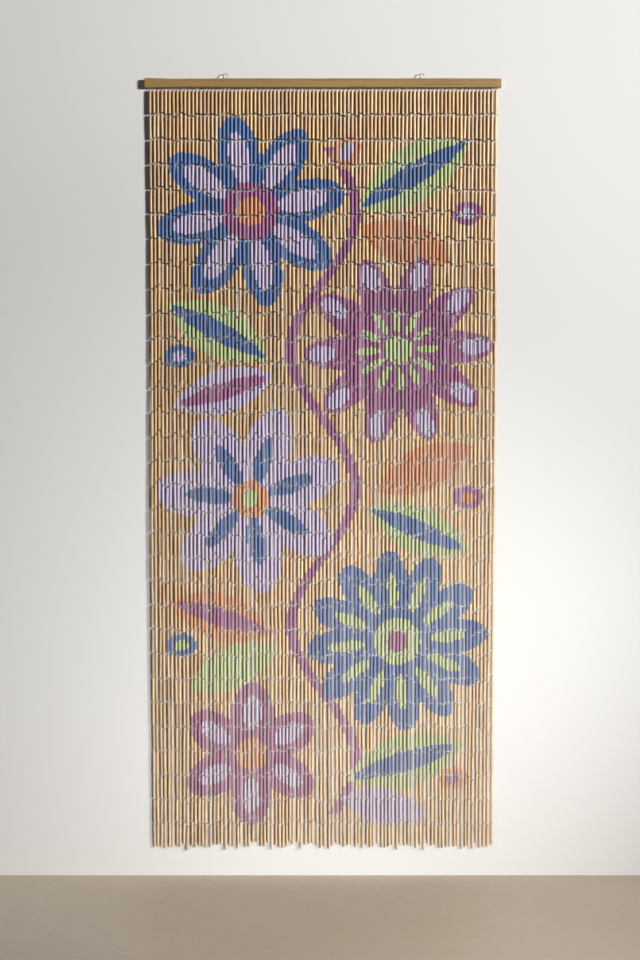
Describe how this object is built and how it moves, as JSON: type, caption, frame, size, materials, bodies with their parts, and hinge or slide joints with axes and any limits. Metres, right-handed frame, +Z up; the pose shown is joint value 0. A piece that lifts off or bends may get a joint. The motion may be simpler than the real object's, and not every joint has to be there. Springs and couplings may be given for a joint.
{
  "type": "bead curtain with wooden header bar",
  "caption": "Doorway curtain of bamboo tubes strung in close rows under a straight wooden bar, hung from wire eyes in the bar's top edge.",
  "frame": {"origin": "middle of the header bar's top face", "axes": "+Z up, -Y towards the front, +X to the right of someone facing the curtain; the wall behind the bar is the plane y = 0.008"},
  "size_m": [0.923, 0.016, 2.0368],
  "materials": {
    "wood": "satin varnish over straight grain",
    "steel": "bright plated wire",
    "bamboo": "smooth natural bamboo with matt painted areas"
  },
  "bodies": {
    "root": {"header": "wood", "eye_left": "steel", "eye_right": "steel", "strands": "bamboo"}
  },
  "joints": []
}
